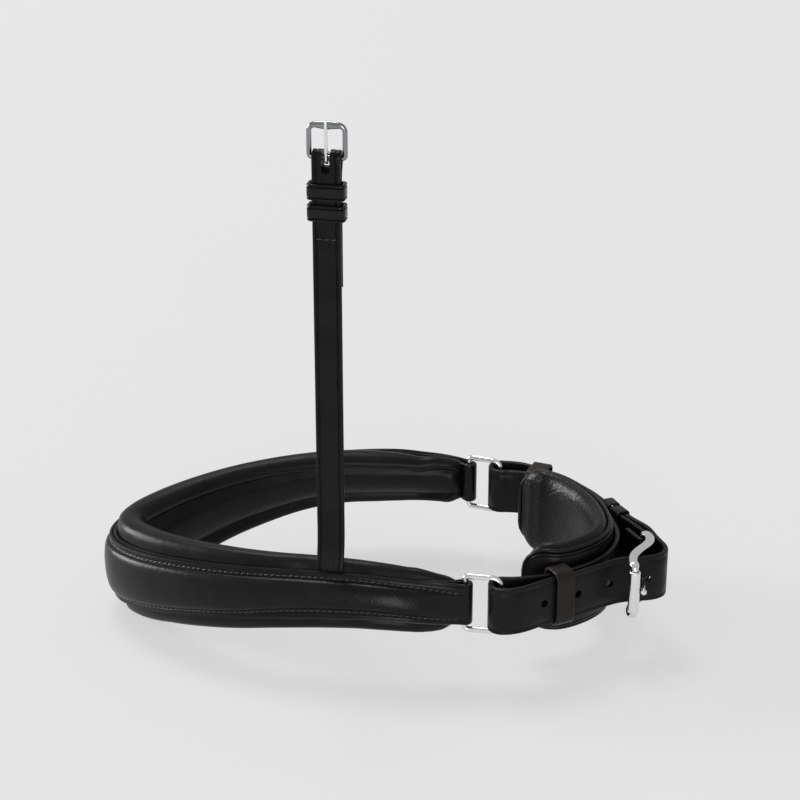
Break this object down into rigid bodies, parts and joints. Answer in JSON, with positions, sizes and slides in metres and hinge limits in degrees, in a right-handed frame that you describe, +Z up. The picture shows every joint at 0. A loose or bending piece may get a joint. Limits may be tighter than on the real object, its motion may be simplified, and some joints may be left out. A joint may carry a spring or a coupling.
{
  "type": "bridle noseband",
  "caption": "Padded leather bridle noseband with square rings, a roller-buckle crank strap with a chin pad, and one hanger strap with a buckle.",
  "frame": {"origin": "middle of the noseband's footprint, on the surface that it stands on", "axes": "+X from the nose to the chin, +Y from the near (buckled) side to the far side, +Z up along the hanger strap"},
  "size_m": [0.2792, 0.1634, 0.2687],
  "materials": {
    "black_leather": "semi-gloss black, finished bridle leather",
    "lining_leather": "soft black lining leather",
    "keeper_leather": "satin brownish black leather",
    "foam": "matt padding, hidden inside the leather",
    "bright_steel": "polished"
  },
  "bodies": {
    "noseband": {"nose_cover": "black_leather", "nose_raise_core": "foam", "nose_strap": "black_leather", "nose_pad_foam": "foam", "nose_pad_liner": "lining_leather", "hanger_strap": "black_leather", "hanger_fixed_keeper": "black_leather"},
    "near_ring": {"near_ring": "bright_steel"},
    "far_ring": {"far_ring": "bright_steel"},
    "crank": {"crank_strap": "black_leather", "crank_fixed_keeper": "black_leather"},
    "crank_running_keeper": {"crank_running_keeper": "black_leather"},
    "crank_buckle_frame": {"crank_buckle_frame": "bright_steel"},
    "crank_roller": {"crank_roller": "bright_steel"},
    "crank_prong": {"crank_prong": "bright_steel"},
    "chin_pad": {"chin_pad_back": "black_leather", "chin_pad_foam": "foam", "chin_pad_liner": "lining_leather", "chin_pad_piping": "black_leather", "chin_keeper_near": "keeper_leather", "chin_keeper_far": "keeper_leather"},
    "hanger_running_keeper": {"hanger_running_keeper": "black_leather"},
    "hanger_buckle_frame": {"hanger_buckle_frame": "bright_steel"},
    "hanger_tongue": {"hanger_tongue": "bright_steel"}
  },
  "joints": [
    {"name": "near_ring_hinge", "type": "hinge", "parent": "noseband", "child": "near_ring", "pos_m": [0.04253, -0.0667, 0.04033], "axis": [0, 0, 1], "range_deg": [-12, 12]},
    {"name": "crank_hinge", "type": "hinge", "parent": "near_ring", "child": "crank", "pos_m": [0.05965, -0.0692, 0.04033], "axis": [0, 0, 1], "range_deg": [-12, 12]},
    {"name": "far_ring_hinge", "type": "hinge", "parent": "noseband", "child": "far_ring", "pos_m": [0.04253, 0.0667, 0.04033], "axis": [0, 0, 1], "range_deg": [-12, 12]},
    {"name": "crank_running_keeper_slide", "type": "slide", "parent": "crank", "child": "crank_running_keeper", "axis": [-0.3986, 0.9171, 0], "range_m": [-0.002, 0.002]},
    {"name": "crank_buckle_hinge", "type": "hinge", "parent": "crank", "child": "crank_buckle_frame", "pos_m": [0.1282, -0.01653, 0.04033], "axis": [0, 0, 1], "range_deg": [-2, 2]},
    {"name": "crank_roller_spin", "type": "hinge", "parent": "crank_buckle_frame", "child": "crank_roller", "pos_m": [0.12241, -0.05249, 0.04033], "axis": [0, 0, 1], "continuous": true},
    {"name": "crank_prong_hinge", "type": "hinge", "parent": "crank_buckle_frame", "child": "crank_prong", "pos_m": [0.1282, -0.01653, 0.04033], "axis": [0, 0, 1], "range_deg": [-0.2, 1.5]},
    {"name": "chin_pad_shift", "type": "hinge", "parent": "crank", "child": "chin_pad", "pos_m": [0.06002, -0.00535, 0.04033], "axis": [0, 0, 1], "range_deg": [-0.5, 0.5]},
    {"name": "hanger_keeper_slide", "type": "slide", "parent": "noseband", "child": "hanger_running_keeper", "axis": [0, 0, -1], "range_m": [0, 0.145]},
    {"name": "hanger_buckle_hinge", "type": "hinge", "parent": "noseband", "child": "hanger_buckle_frame", "pos_m": [-0.01955, -0.05813, 0.25233], "axis": [0.9879, -0.155, 0], "range_deg": [-45, 45]},
    {"name": "hanger_tongue_hinge", "type": "hinge", "parent": "hanger_buckle_frame", "child": "hanger_tongue", "pos_m": [-0.01955, -0.05813, 0.25233], "axis": [0.9879, -0.155, 0], "range_deg": [0, 80]}
  ],
  "couplings": [
    {"joint": "crank_hinge", "follows": "near_ring_hinge", "ratio": -1},
    {"joint": "far_ring_hinge", "follows": "near_ring_hinge", "ratio": 1}
  ]
}
